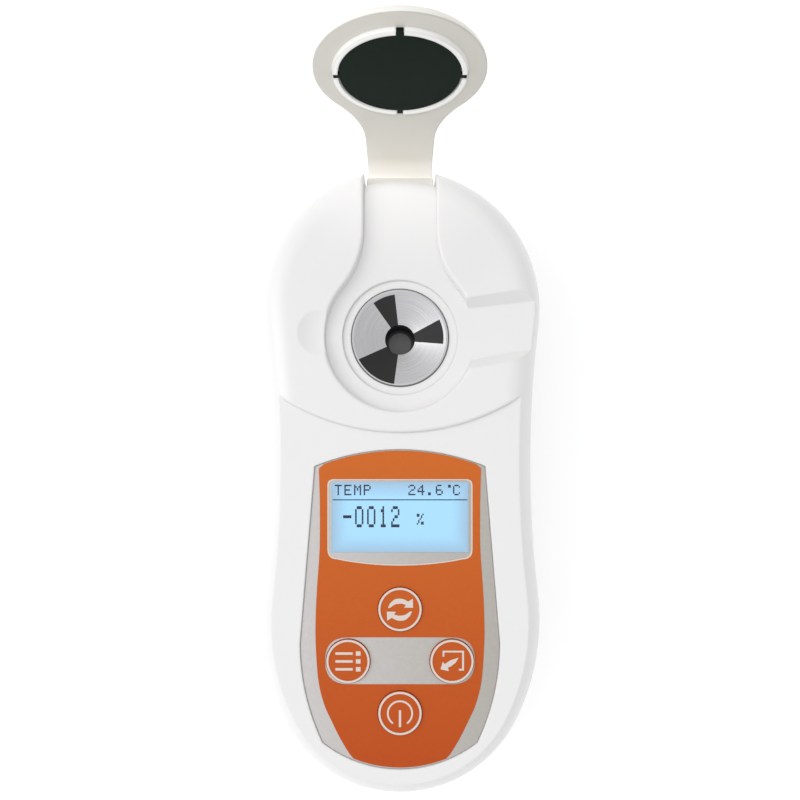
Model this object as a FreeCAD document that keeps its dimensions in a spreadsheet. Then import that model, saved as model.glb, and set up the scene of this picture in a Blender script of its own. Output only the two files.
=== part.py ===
import FreeCAD, Part
import functools
import math
import os
import Sketcher
from FreeCAD import Placement, Rotation, Vector

# Pocket digital refractometer, lying on its back with the sample flap open.
# Millimetres. +Z is up out of the face, +Y runs towards the flap's hinge, X is the width.
# The origin is on the flat back, midway along the case.

DIMENSIONS = [
    # Outline of the case at the joint between its halves
    ("dome_r", 28.0, "round head end"),
    ("dome_y", 33.6, "its centre"),
    ("waist_r", 220.0, "shallow hollow on each side"),
    ("side_r", 44.3, "lower side"),
    ("side_x", 16.3, "its centre, across the middle line"),
    ("side_y", -27.2, "its centre"),
    ("tail_r", 26.0, "round lower end"),
    ("draft", 3.0, "slope of the side walls, in degrees"),
    # Levels above the table
    ("joint_z", 11.0, "joint between the case halves"),
    ("deck_z", 25.0, "raised deck round the sample dish"),
    ("floor_z", 23.0, "floor of the flap's channel"),
    ("collar_z", 22.5, "seat round the dish"),
    ("face_z", 24.2, "lower deck round the keys"),
    ("recess_z", 23.7, "recess that holds the overlay"),
    ("ceiling_z", 21.2, "inside of the face"),
    ("base_z", 2.2, "inside of the back"),
    ("top_round", 6.0, "rounding of the upper edge"),
    ("back_round", 5.0, "rounding of the back edge"),
    ("wall", 2.0, "side walls"),
    # Flap channel
    ("dish_y", 27.6, "centre of the sample dish"),
    ("well_r", 14.4, "round end of the channel"),
    ("neck_half", 7.0, "half width of the channel's neck"),
    ("neck_y", 48.0, "where the neck starts to widen"),
    ("neck_r", 17.4, "arc that widens it"),
    ("end_r", 24.0, "north end of the channel floor, in plan"),
    ("end_y", 34.7, "its centre"),
    ("end_round", 3.0, "rounding there, under the flap's bend"),
    ("step_r", 42.0, "curved step between the decks"),
    ("step_y", 51.2, "its centre"),
    ("collar_r", 11.05, "seat round the dish"),
    ("rim_round", 0.5, "rounded edges of the channel and the step"),
    ("scoop_r", 10.7, "hollow for a thumb, at the edge of the channel"),
    ("scoop_deep", 0.9, "its depth"),
    # Hinge
    ("hinge_y", 57.0, "hinge axis"),
    ("hinge_z", 15.5, "hinge axis"),
    ("pin_r", 1.0, "hinge pin"),
    ("knuckle_r", 4.2, "round end of the flap's leg"),
    ("hinge_gap", 0.4, "room round the knuckle"),
    ("open_angle", 90.9, "flap angle from closed, in degrees"),
    # Flap
    ("flap_gap", 0.45, "room round the flap when it is closed"),
    ("flap_thick", 1.6, "plate of the flap"),
    ("boss_out", 10.85, "ring that holds the pad"),
    ("boss_in", 10.0, "its inside"),
    ("boss_z", 22.7, "its face when the flap is closed"),
    ("pad_r", 9.75, "light-tight pad"),
    ("pad_z", 22.9, "its face when the flap is closed"),
    ("leg_thick", 2.0, "leg of the flap"),
    ("pad_thick", 0.9, "light-tight pad"),
    ("tab_half", 0.5, "half width of the pad's four tabs"),
    ("bend_in", 3.6, "inside of the bend between leg and plate"),
    ("flap_round", 1.3, "outer edge of the flap"),
    # Sample dish and optics
    ("rim_r", 9.5, "steel rim"),
    ("rim_z", 22.8, "top of the rim"),
    ("barrel_r", 8.4, "body of the dish"),
    ("cone_r", 8.9, "top of the cone"),
    ("cone_z", 20.8, "bottom of the cone"),
    ("eye_r", 2.9, "hole over the prism"),
    ("barrel_z", 16.4, "underside of the dish"),
    ("housing_low", 6.0, "underside of the optics housing"),
    ("prism_low", 12.0, "underside of the prism"),
    ("prism_half", 4.5, "half width of the prism"),
    ("prism_top", 6.0, "half length of the prism's upper face"),
    ("prism_foot", 3.2, "half length of its lower face"),
    ("window_z", 16.5, "face that the sample touches"),
    ("lamp_r", 1.5, "light-emitting diode"),
    ("lens_r", 2.4, "focusing lens"),
    ("probe_x", 7.6, "temperature probe"),
    ("probe_r", 0.8, "temperature probe"),
    # Overlay, display and keys
    ("panel_top_r", 43.0, "top edge of the overlay recess"),
    ("panel_top_y", 6.0, "highest point of that edge"),
    ("panel_corner_x", 16.3, "upper corner"),
    ("panel_wide", 19.1, "half width at the widest"),
    ("panel_wide_y", -31.0, "where it is widest"),
    ("panel_low_r", 44.0, "lower side arc"),
    ("panel_low_x", 14.8, "lower corner"),
    ("panel_end_r", 24.0, "lower edge"),
    ("overlay_gap", 0.15, "room round the overlay"),
    ("overlay_thick", 0.3, "overlay film"),
    ("window_x", 13.2, "half width of the clear window"),
    ("window_top", 0.0, "upper edge of the window"),
    ("window_low", -13.7, "lower edge of the window"),
    ("glass_x", 14.9, "half width of the display glass"),
    ("glass_top", 1.5, "upper edge of the glass"),
    ("glass_low", -15.3, "lower edge of the glass"),
    ("glass_z", 21.8, "underside of the glass"),
    ("key_r", 4.2, "key cap"),
    ("key_y", -34.4, "centre of the key cross"),
    ("key_pitch", 9.9, "from that centre to each key"),
    ("key_gap", 0.1, "room round a key cap"),
    ("key_top", 24.35, "top of a key cap"),
    ("key_thick", 0.5, "key cap"),
    ("stem_r", 2.2, "key stem"),
    ("stem_z", 20.95, "bottom of a key stem"),
    # Boards
    ("board_z", 17.0, "underside of the main board"),
    ("board_thick", 1.0, "main board"),
    ("board_x", 18.0, "half width of the main board"),
    ("board_top", 10.0, "upper end"),
    ("board_low", -52.0, "lower end"),
    ("tail_x", 12.5, "half width of its lower tongue"),
    ("tail_y", -38.0, "where that tongue starts"),
    # Battery and its bay
    ("cell_r", 5.25, "AAA cell"),
    ("cell_long", 44.5, "AAA cell"),
    ("cell_top", 1.0, "positive end"),
    ("cell_z", 6.85, "axis"),
    ("bay_x", 5.6, "half width of the bay"),
    ("bay_top", 2.0, "upper end of the bay"),
    ("bay_low", -48.0, "lower end of the bay"),
    ("spring_r", 3.0, "contact spring"),
    ("bay_roof", 12.6, "inside of the bay's roof"),
    ("bay_wall", 1.2, "bay walls"),
    ("door_x", 8.6, "half width of the door's recess"),
    ("door_top", 4.6, "upper end of that recess"),
    ("door_low", -53.0, "lower end"),
    ("door_deep", 1.3, "recess depth"),
    ("door_gap", 0.25, "room round the door"),
    ("door_thick", 1.25, "door"),
    # Case screws
    ("screw_head_x", 19.0, "upper pair"),
    ("screw_head_y", 41.0, "upper pair"),
    ("screw_tail_x", 17.0, "lower pair"),
    ("screw_tail_y", -45.0, "lower pair"),
    ("screw_r", 0.98, "shank"),
    ("pilot_r", 1.0, "pilot hole"),
    ("pilot_z", 18.0, "end of the pilot hole"),
    ("head_z", 4.5, "seat of the screw head"),
    ("head_r", 1.9, "screw head"),
    ("head_tall", 1.3, "screw head"),
    ("post_r", 3.3, "screw post in the back"),
    ("boss_r", 2.5, "screw post in the front"),
    # Small screws inside
    ("small_r", 0.75, "shank"),
    ("stud_r", 1.9, "post"),
    ("board_screw_x", 15.6, "board screws"),
    ("board_screw_y", -20.0, "lower pair of board screws"),
    ("ear_x", 13.6, "screws of the optics housing"),
    ("ear_z", 18.2, "seat of the housing's ears"),
    # Solid block that carries the hinge pin
    ("block_x", 11.0, "half width"),
    ("block_y", 50.5, "south side"),
    ("well_z", 23.1, "floor of the key wells"),
]

doc = FreeCAD.newDocument("refractometer")
dims = doc.addObject("Spreadsheet::Sheet", "dims")
for row, (alias, value, note) in enumerate(DIMENSIONS, start=1):
    dims.set(f"A{row}", alias)
    dims.set(f"B{row}", str(value))
    dims.set(f"C{row}", note)
    dims.setAlias(f"B{row}", alias)
doc.recompute()


scratch = doc.addObject("Spreadsheet::Sheet", "scratch")


@functools.cache
def val(expression):
    """The number that an expression over the sheet gives now, worked out in a spare cell."""
    scratch.set("A1", "=" + expression)
    scratch.recompute()
    return float(scratch.get("A1"))


# ---------------------------------------------------------------- sketch helpers


def new_body(name):
    body = doc.addObject("PartDesign::Body", name)
    body.Label = name
    return body


def origin_plane(body, role):
    return [f for f in body.Origin.OriginFeatures if f.Role == role][0]


def new_sketch(body, name, plane="XY_Plane", level=None):
    """A sketch on one of the body's own origin planes, raised by the expression level."""
    sketch = body.newObject("Sketcher::SketchObject", name)
    sketch.AttachmentSupport = [(origin_plane(body, plane), "")]
    sketch.MapMode = "FlatFace"
    if level is not None:
        sketch.setExpression("AttachmentOffset.Base.z", level)
    return sketch


def bind(sketch, kind, *where):
    """Adds a dimension whose value is an expression, which is the last argument."""
    *where, expression = where
    index = sketch.addConstraint(Sketcher.Constraint(kind, *where, val(expression)))
    sketch.setExpression(f"Constraints[{index}]", expression)


def circle(sketch, x, y, radius):
    """A circle whose centre and radius are expressions."""
    made = Part.Circle(Vector(val(x), val(y), 0), Vector(0, 0, 1), val(radius))
    index = sketch.addGeometry(made, False)
    bind(sketch, "Radius", index, radius)
    for kind, place in (("DistanceX", x), ("DistanceY", y)):
        if abs(val(place)) < 1e-9:
            axis = -2 if kind == "DistanceX" else -1
            sketch.addConstraint(Sketcher.Constraint("PointOnObject", index, 3, axis))
        else:
            bind(sketch, kind, index, 3, place)


def box(sketch, x0, x1, y0, y1):
    """A rectangle whose sides are expressions."""
    corners = [(x0, y0), (x1, y0), (x1, y1), (x0, y1)]
    points = [Vector(val(x), val(y), 0) for x, y in corners]
    first = sketch.GeometryCount
    for k in range(4):
        line = Part.LineSegment(points[k], points[(k + 1) % 4])
        sketch.addGeometry(line, False)
    for k in range(4):
        ends = (first + k, 2, first + (k + 1) % 4, 1)
        sketch.addConstraint(Sketcher.Constraint("Coincident", *ends))
        kind = "Horizontal" if k % 2 == 0 else "Vertical"
        sketch.addConstraint(Sketcher.Constraint(kind, first + k))
    for kind, corner, place in (
        ("DistanceX", 0, x0),
        ("DistanceY", 0, y0),
        ("DistanceX", 2, x1),
        ("DistanceY", 2, y1),
    ):
        if abs(val(place)) < 1e-9:
            axis = -2 if kind == "DistanceX" else -1
            where = (first + corner, 1, axis)
            sketch.addConstraint(Sketcher.Constraint("PointOnObject", *where))
        else:
            bind(sketch, kind, first + corner, 1, place)


def arc(x, y, radius, start, end):
    """An arc from two end points, drawn counter-clockwise round a centre."""
    angles = [math.atan2(p[1] - y, p[0] - x) for p in (start, end)]
    if angles[1] <= angles[0]:
        angles[1] += 2 * math.pi
    round_it = Part.Circle(Vector(x, y, 0), Vector(0, 0, 1), radius)
    return Part.ArcOfCircle(round_it, *angles)


def line(start, end):
    return Part.LineSegment(Vector(*start, 0), Vector(*end, 0))


def chain(sketch, pieces, smooth):
    """Adds pieces that meet end to end in a loop. Joints listed in smooth are tangent."""
    first = sketch.GeometryCount
    for piece in pieces:
        sketch.addGeometry(piece, False)
    count = len(pieces)
    for k in range(count):
        a, b = pieces[k], pieces[(k + 1) % count]
        pairs = [
            ((pa - pb).Length, ia, ib)
            for ia, pa in ((1, a.StartPoint), (2, a.EndPoint))
            for ib, pb in ((1, b.StartPoint), (2, b.EndPoint))
        ]
        _, ia, ib = min(pairs)
        kind = "Tangent" if k in smooth else "Coincident"
        ends = (first + k, ia, first + (k + 1) % count, ib)
        sketch.addConstraint(Sketcher.Constraint(kind, *ends))
    return first


def between(x0, y0, r0, x1, y1, r1, outside):
    """Where two tangent circles touch: outside each other, or the second inside the first."""
    gap = math.hypot(x1 - x0, y1 - y0)
    ux, uy = (x1 - x0) / gap, (y1 - y0) / gap
    return (x0 + r0 * ux, y0 + r0 * uy) if outside else (x1 + r1 * ux, y1 + r1 * uy)


# ---------------------------------------------------------------- feature helpers


def finish(body, feature, name, adds):
    """Recomputes, and stops if the feature failed or went the wrong way."""
    before = body.Shape.Volume if body.Shape.Faces else 0.0
    doc.recompute()
    volume = body.Shape.Volume
    broken = body.Shape.isNull() or not body.Shape.isValid()
    if "Invalid" in feature.State or "Error" in feature.State or broken:
        raise RuntimeError(f"{body.Label}.{name} failed: {feature.State}")
    if (volume <= before) if adds else (volume >= before):
        raise RuntimeError(f"{body.Label}.{name} changed {before:.1f} to {volume:.1f}")
    return feature


def extrude(body, kind, sketch, length, name, up, symmetric, draft):
    feature = body.newObject(f"PartDesign::{kind}", name)
    feature.Profile = sketch
    feature.setExpression("Length", length)
    if symmetric:
        feature.SideType = "Symmetric"
    feature.Reversed = up if kind == "Pocket" else not up
    if draft is not None:
        feature.setExpression("TaperAngle", draft)
    sketch.Visibility = False
    return finish(body, feature, name, adds=kind == "Pad")


def pad(body, sketch, length, name, up=True, symmetric=False, draft=None):
    return extrude(body, "Pad", sketch, length, name, up, symmetric, draft)


def pocket(body, sketch, length, name, up=False, symmetric=False, draft=None):
    return extrude(body, "Pocket", sketch, length, name, up, symmetric, draft)


def revolve(body, sketch, name, axis):
    feature = body.newObject("PartDesign::Revolution", name)
    feature.Profile = sketch
    feature.ReferenceAxis = axis
    feature.Angle = 360.0
    return finish(body, feature, name, adds=True)


def edges_where(shape, test):
    return [f"Edge{i}" for i, e in enumerate(shape.Edges, start=1) if test(e)]


def at_level(z, tolerance=1e-4):
    """A test for edges that lie flat at a height."""

    def test(edge):
        bounds = edge.BoundBox
        return abs(bounds.ZMin - z) < tolerance and abs(bounds.ZMax - z) < tolerance

    return test


def top_rim(edge):
    """The outline of the flap's upper face, without its straight north end."""
    flat_across = edge.BoundBox.YLength < 1e-4
    return at_level(val("dims.deck_z"))(edge) and not flat_across


def radius_of(edge):
    return getattr(edge.Curve, "Radius", 0.0)


def on_deck(edge, *radii):
    """An edge of the upper deck that is an arc with one of these radii."""
    close = [abs(radius_of(edge) - val(r)) < 1e-3 for r in radii]
    return at_level(val("dims.deck_z"))(edge) and any(close)


def channel_rim(edge):
    return on_deck(edge, "dims.well_r", "dims.neck_r")


def channel_end(edge):
    level = at_level(val("dims.floor_z"))(edge)
    return level and abs(radius_of(edge) - val("dims.end_r")) < 1e-3


def deck_step(edge):
    return on_deck(edge, "dims.step_r")


def fillet(body, test, radius, name):
    base = body.Tip
    names = edges_where(base.Shape, test)
    if not names:
        raise RuntimeError(f"{body.Label}.{name} found no edge")
    feature = body.newObject("PartDesign::Fillet", name)
    feature.Base = (base, names)
    feature.setExpression("Radius", radius)
    doc.recompute()
    if "Invalid" in feature.State or "Error" in feature.State:
        raise RuntimeError(f"{body.Label}.{name} failed: {feature.State}")
    return feature


def layer(body, name, low, high, draw, remove=False):
    """Adds, or removes, what draw outlines between two levels."""
    sketch = new_sketch(body, f"{name}_outline", level=high if remove else low)
    draw(sketch)
    height = f"({high}) - ({low})"
    return (pocket if remove else pad)(body, sketch, height, name)


def across(body, name, draw, length, remove=False):
    """Adds, or removes, a bar of the given length that crosses the middle plane."""
    sketch = new_sketch(body, f"{name}_outline", plane="YZ_Plane")
    draw(sketch)
    return (pocket if remove else pad)(body, sketch, length, name, symmetric=True)


def solid(kind, name, turn=None, x="0", y="0", z="0", **sizes):
    """A Part primitive whose place and sizes are expressions. turn is (axis, degrees)."""
    made = doc.addObject(f"Part::{kind}", name)
    if turn is not None:
        made.Placement = Placement(Vector(), Rotation(*turn))
    for prop, expression in sizes.items():
        made.setExpression(prop, str(expression))
    for axis, expression in (("x", x), ("y", y), ("z", z)):
        made.setExpression(f"Placement.Base.{axis}", str(expression))
    return made


def joined(kind, name, shapes):
    """Part::MultiFuse makes one solid of the shapes, Part::Compound keeps them apart."""
    made = doc.addObject(f"Part::{kind}", name)
    made.Label = name
    if kind == "MultiFuse":
        made.Shapes = shapes
    else:
        made.Links = shapes
    return made


nodes = []


def keep(item):
    """Marks an object as one of the pieces to write."""
    nodes.append(item)
    return item


# ---------------------------------------------------------------- shared outlines


def case_outline(sketch, inset="0"):
    """The case in plan: a dome, two hollow sides, two lower sides and a round end."""
    gap = val(inset)
    dome_r, waist_r = val("dims.dome_r") - gap, val("dims.waist_r") + gap
    side_r, tail_r = val("dims.side_r") - gap, val("dims.tail_r") - gap
    dome_y, side_x, side_y = (val(f"dims.{k}") for k in ("dome_y", "side_x", "side_y"))
    # The hollow touches the dome and the lower side from outside them both.
    to_dome, to_side = dome_r + waist_r, side_r + waist_r
    dx, dy = -side_x, side_y - dome_y
    apart = math.hypot(dx, dy)
    along = (to_dome**2 - to_side**2 + apart**2) / (2 * apart)
    off = math.sqrt(to_dome**2 - along**2)
    waist_x = along * dx / apart - off * dy / apart
    waist_y = dome_y + along * dy / apart + off * dx / apart
    # The round end lies inside both lower sides.
    tail_y = side_y - math.sqrt((side_r - tail_r) ** 2 - side_x**2)
    dome_touch = between(0, dome_y, dome_r, waist_x, waist_y, waist_r, True)
    side_touch = between(-side_x, side_y, side_r, waist_x, waist_y, waist_r, True)
    tail_touch = between(-side_x, side_y, side_r, 0, tail_y, tail_r, False)

    def left(point):
        return (-point[0], point[1])

    pieces = [
        arc(0, dome_y, dome_r, dome_touch, left(dome_touch)),
        arc(-waist_x, waist_y, waist_r, left(side_touch), left(dome_touch)),
        arc(side_x, side_y, side_r, left(side_touch), left(tail_touch)),
        arc(0, tail_y, tail_r, left(tail_touch), tail_touch),
        arc(-side_x, side_y, side_r, tail_touch, side_touch),
        arc(waist_x, waist_y, waist_r, dome_touch, side_touch),
    ]
    first = chain(sketch, pieces, smooth=range(6))
    radii = [
        (0, f"dims.dome_r - ({inset})"),
        (1, f"dims.waist_r + ({inset})"),
        (2, f"dims.side_r - ({inset})"),
        (3, f"dims.tail_r - ({inset})"),
        (4, f"dims.side_r - ({inset})"),
        (5, f"dims.waist_r + ({inset})"),
    ]
    for index, radius in radii:
        bind(sketch, "Radius", first + index, radius)
    sketch.addConstraint(Sketcher.Constraint("PointOnObject", first, 3, -2))
    bind(sketch, "DistanceY", first, 3, "dims.dome_y")
    bind(sketch, "DistanceX", first + 2, 3, "dims.side_x")
    bind(sketch, "DistanceY", first + 2, 3, "dims.side_y")
    bind(sketch, "DistanceX", first + 4, 3, "-dims.side_x")
    bind(sketch, "DistanceY", first + 4, 3, "dims.side_y")


def keyhole_outline(sketch, north, inset="0"):
    """The flap's channel in plan, or the flap itself with an inset: a neck and a round end."""
    gap = val(inset)
    well_r, neck_r = val("dims.well_r") - gap, val("dims.neck_r") + gap
    half, neck_y = val("dims.neck_half") - gap, val("dims.neck_y")
    dish_y, far = val("dims.dish_y"), val(north)
    neck_x = half + neck_r
    neck_y = dish_y + math.sqrt((well_r + neck_r) ** 2 - neck_x**2)
    touch = between(0, dish_y, well_r, neck_x, neck_y, neck_r, True)
    pieces = [
        line((half, far), (half, neck_y)),
        arc(neck_x, neck_y, neck_r, (half, neck_y), touch),
        arc(0, dish_y, well_r, (-touch[0], touch[1]), touch),
        arc(-neck_x, neck_y, neck_r, (-touch[0], touch[1]), (-half, neck_y)),
        line((-half, neck_y), (-half, far)),
        line((-half, far), (half, far)),
    ]
    first = chain(sketch, pieces, smooth=range(4))
    bind(sketch, "Radius", first + 2, f"dims.well_r - ({inset})")
    bind(sketch, "Radius", first + 1, f"dims.neck_r + ({inset})")
    bind(sketch, "Radius", first + 3, f"dims.neck_r + ({inset})")
    sketch.addConstraint(Sketcher.Constraint("PointOnObject", first + 2, 3, -2))
    bind(sketch, "DistanceY", first + 2, 3, "dims.dish_y")
    for index in (0, 4):
        sketch.addConstraint(Sketcher.Constraint("Vertical", first + index))
    sketch.addConstraint(Sketcher.Constraint("Horizontal", first + 5))
    bind(sketch, "DistanceX", first, 1, f"dims.neck_half - ({inset})")
    bind(sketch, "DistanceX", first + 4, 2, f"-(dims.neck_half - ({inset}))")
    bind(sketch, "DistanceY", first, 1, north)


def panel_outline(sketch, inset="0"):
    """The overlay's recess in plan: a curved top, flared sides and a round lower edge."""
    gap = val(inset)
    top_r = val("dims.panel_top_r") - gap
    top_y = val("dims.panel_top_y") - val("dims.panel_top_r")
    corner_x, wide = val("dims.panel_corner_x") - gap, val("dims.panel_wide") - gap
    low_x = val("dims.panel_low_x") - gap
    wide_y, low_r = val("dims.panel_wide_y"), val("dims.panel_low_r") - gap
    end_r = val("dims.panel_end_r") - gap
    corner = (corner_x, top_y + math.sqrt(top_r**2 - corner_x**2))
    low_centre = (wide - low_r, wide_y)
    low_y = wide_y - math.sqrt(low_r**2 - (low_x - low_centre[0]) ** 2)
    low = (low_x, low_y)
    end_y = low_y + math.sqrt(end_r**2 - low_x**2)
    waist = (wide, wide_y)

    def left(point):
        return (-point[0], point[1])

    pieces = [
        arc(0, top_y, top_r, corner, left(corner)),
        line(left(corner), left(waist)),
        arc(-low_centre[0], wide_y, low_r, left(waist), left(low)),
        arc(0, end_y, end_r, left(low), low),
        arc(low_centre[0], wide_y, low_r, low, waist),
        line(waist, corner),
    ]
    first = chain(sketch, pieces, smooth=())
    sketch.addConstraint(Sketcher.Constraint("PointOnObject", first, 3, -2))
    bind(sketch, "Radius", first, f"dims.panel_top_r - ({inset})")
    bind(sketch, "DistanceY", first, 3, "dims.panel_top_y - dims.panel_top_r")
    bind(sketch, "DistanceX", first, 1, f"dims.panel_corner_x - ({inset})")
    bind(sketch, "DistanceX", first, 2, f"-(dims.panel_corner_x - ({inset}))")
    bind(sketch, "Radius", first + 3, f"dims.panel_end_r - ({inset})")
    for index, sign in ((2, "-"), (4, "")):
        bind(sketch, "Radius", first + index, f"dims.panel_low_r - ({inset})")
        centre = f"{sign}(dims.panel_wide - dims.panel_low_r)"
        bind(sketch, "DistanceX", first + index, 3, centre)
        bind(sketch, "DistanceY", first + index, 3, "dims.panel_wide_y")
    bind(sketch, "DistanceX", first + 3, 1, f"-(dims.panel_low_x - ({inset}))")
    bind(sketch, "DistanceX", first + 3, 2, f"dims.panel_low_x - ({inset})")
    bind(sketch, "DistanceY", first + 5, 1, "dims.panel_wide_y")
    bind(sketch, "DistanceY", first + 1, 2, "dims.panel_wide_y")


KEYS = {
    "cycle": ("0", "dims.key_y + dims.key_pitch"),
    "menu": ("-dims.key_pitch", "dims.key_y"),
    "enter": ("dims.key_pitch", "dims.key_y"),
    "power": ("0", "dims.key_y - dims.key_pitch"),
}

BOARD_SCREWS = [
    (f"{side}dims.board_screw_x", y) for side in ("", "-") for y in ("6", "dims.board_screw_y")
]

OPTICS_SCREWS = [(f"{side}dims.ear_x", "dims.dish_y") for side in ("", "-")]

SCREWS = [
    (f"{side}dims.screw_{end}_x", f"dims.screw_{end}_y")
    for end in ("head", "tail")
    for side in ("", "-")
]


def sheet(*names):
    """Expressions for the named dimensions."""
    return [f"dims.{name}" for name in names]


def square(x0, x1, y0, y1):
    return lambda sketch: box(sketch, x0, x1, y0, y1)


def disc(x, y, radius):
    return lambda sketch: circle(sketch, x, y, radius)


def ring(x, y, outside, inside):
    def draw(sketch):
        circle(sketch, x, y, outside)
        circle(sketch, x, y, inside)

    return draw


def discs(places, radius):
    def draw(sketch):
        for x, y in places:
            circle(sketch, x, y, radius)

    return draw


def polygon(points):
    """Straight sides between corners that are pairs of expressions."""

    def draw(sketch):
        spots = [(val(x), val(y)) for x, y in points]
        count = len(spots)
        pieces = [line(spots[k], spots[(k + 1) % count]) for k in range(count)]
        first = chain(sketch, pieces, smooth=())
        for k, (x, y) in enumerate(points):
            bind(sketch, "DistanceX", first + k, 1, x)
            bind(sketch, "DistanceY", first + k, 1, y)

    return draw


def arc_block(sketch, up, radius, centre_y, half, far):
    """A block in plan, from an arc centred on the middle line to a straight side at far.

    up is 1 for an arc that bulges north and -1 for one that bulges south.
    """
    r, cy, w, f = val(radius), val(centre_y), val(half), val(far)
    y = cy + up * math.sqrt(r**2 - w**2)
    ends = ((w, y), (-w, y)) if up > 0 else ((-w, y), (w, y))
    pieces = [
        arc(0, cy, r, *ends),
        line(ends[1], (ends[1][0], f)),
        line((ends[1][0], f), (ends[0][0], f)),
        line((ends[0][0], f), ends[0]),
    ]
    first = chain(sketch, pieces, smooth=())
    sketch.addConstraint(Sketcher.Constraint("PointOnObject", first, 3, -2))
    bind(sketch, "Radius", first, radius)
    bind(sketch, "DistanceY", first, 3, centre_y)
    sketch.addConstraint(Sketcher.Constraint("Vertical", first + 1))
    sketch.addConstraint(Sketcher.Constraint("Vertical", first + 3))
    sketch.addConstraint(Sketcher.Constraint("Horizontal", first + 2))
    right = first + (1 if ends[1][0] > 0 else 3)
    left = first + (3 if ends[1][0] > 0 else 1)
    bind(sketch, "DistanceX", right, 1, half)
    bind(sketch, "DistanceX", left, 1, f"-({half})")
    bind(sketch, "DistanceY", first + 2, 1, far)


# Run-off trough from the dish to the right edge, in plan: its floor, then its mouth
TROUGH_FLOOR = [
    ("5", "dims.dish_y + 4.4"),
    ("9.8", "dims.dish_y + 5.2"),
    ("26.6", "dims.dish_y + 7.2"),
    ("34", "dims.dish_y + 8.1"),
    ("34", "dims.dish_y - 1.2"),
    ("21.7", "dims.dish_y - 3"),
    ("10.8", "dims.dish_y - 5.1"),
    ("5", "dims.dish_y - 6.1"),
]
TROUGH_MOUTH = [
    ("5", "dims.dish_y + 6.2"),
    ("11.5", "dims.dish_y + 6.9"),
    ("26.6", "dims.dish_y + 9.2"),
    ("34", "dims.dish_y + 10.6"),
    ("34", "dims.dish_y - 3.2"),
    ("22", "dims.dish_y - 4.9"),
    ("11.4", "dims.dish_y - 6.5"),
    ("5", "dims.dish_y - 7.4"),
]
WINDOW = sheet("window_x", "window_low", "window_top")
GLASS = sheet("glass_x", "glass_low", "glass_top")
HINGE = sheet("hinge_y", "hinge_z")
DISH = ("0", "dims.dish_y")


# ---------------------------------------------------------------- back half of the case

bottom_case = keep(new_body("bottom_case"))
layer(bottom_case, "shell", "0", "dims.joint_z", case_outline)
fillet(bottom_case, at_level(0.0), "dims.back_round", "back_edge")
layer(
    bottom_case,
    "hollow",
    "dims.base_z",
    "dims.joint_z",
    lambda s: case_outline(s, "dims.wall"),
    remove=True,
)
layer(
    bottom_case,
    "hinge_floor",
    "dims.base_z",
    "dims.joint_z",
    square("-dims.block_x", "dims.block_x", "dims.block_y", "dims.hinge_y + 1.6"),
)
layer(bottom_case, "screw_posts", "dims.base_z", "dims.joint_z", discs(SCREWS, "dims.post_r"))
layer(
    bottom_case,
    "bay_walls",
    "dims.base_z",
    "dims.bay_roof + dims.bay_wall",
    square(
        "-(dims.bay_x + dims.bay_wall)",
        "dims.bay_x + dims.bay_wall",
        "dims.bay_low - dims.bay_wall",
        "dims.bay_top + dims.bay_wall",
    ),
)
layer(
    bottom_case,
    "bay",
    "0",
    "dims.bay_roof",
    square("-dims.bay_x", "dims.bay_x", "dims.bay_low", "dims.bay_top"),
    remove=True,
)
layer(
    bottom_case,
    "door_recess",
    "0",
    "dims.door_deep",
    square("-dims.door_x", "dims.door_x", "dims.door_low", "dims.door_top"),
    remove=True,
)
layer(bottom_case, "screw_wells", "0", "dims.head_z", discs(SCREWS, "dims.head_r + 0.2"), remove=True)
layer(
    bottom_case,
    "screw_holes",
    "dims.head_z",
    "dims.joint_z",
    discs(SCREWS, "dims.screw_r + 0.15"),
    remove=True,
)

# ---------------------------------------------------------------- front half of the case

top_case = keep(new_body("top_case"))
outline = new_sketch(top_case, "shell_outline", level="dims.joint_z")
case_outline(outline)
pad(top_case, outline, "dims.deck_z - dims.joint_z", "shell", draft="-dims.draft")
fillet(top_case, at_level(val("dims.deck_z")), "dims.top_round", "upper_edge")
layer(
    top_case,
    "lower_deck",
    "dims.face_z",
    "dims.deck_z + 1",
    lambda s: arc_block(s, -1, "dims.step_r", "dims.step_y", "dims.dome_r + 5", "-70"),
    remove=True,
)
hollow = new_sketch(top_case, "hollow_outline", level="dims.joint_z")
case_outline(hollow, "dims.wall")
pocket(
    top_case,
    hollow,
    "dims.ceiling_z - dims.joint_z",
    "hollow",
    up=True,
    draft="-dims.draft",
)
layer(
    top_case,
    "hinge_block",
    "dims.joint_z",
    "dims.ceiling_z",
    lambda s: arc_block(
        s, 1, "dims.dome_r - 1.1", "dims.dome_y", "dims.block_x", "dims.block_y"
    ),
)
layer(
    top_case,
    "channel",
    "dims.floor_z",
    "dims.deck_z + 1",
    lambda s: keyhole_outline(s, "70"),
    remove=True,
)
trough_floor = new_sketch(top_case, "trough_floor", level="dims.floor_z")
polygon(TROUGH_FLOOR)(trough_floor)
trough_mouth = new_sketch(top_case, "trough_mouth", level="dims.deck_z")
polygon(TROUGH_MOUTH)(trough_mouth)
trough = top_case.newObject("PartDesign::SubtractiveLoft", "side_trough")
trough.Profile = trough_floor
trough.Sections = [trough_mouth]
trough.Ruled = True
finish(top_case, trough, "side_trough", adds=False)
fillet(top_case, channel_rim, "dims.rim_round", "channel_edges")
fillet(top_case, deck_step, "dims.rim_round", "step_edge")
scoop = top_case.newObject("PartDesign::SubtractiveSphere", "thumb_scoop")
scoop.setExpression("Radius", "dims.scoop_r")
scoop.setExpression("AttachmentOffset.Base.x", "-(dims.well_r + 0.8)")
scoop.setExpression("AttachmentOffset.Base.y", "dims.dish_y + 0.5")
scoop.setExpression("AttachmentOffset.Base.z", "dims.deck_z + dims.scoop_r - dims.scoop_deep")
scoop.AttachmentSupport = [(origin_plane(top_case, "XY_Plane"), "")]
scoop.MapMode = "FlatFace"
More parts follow.
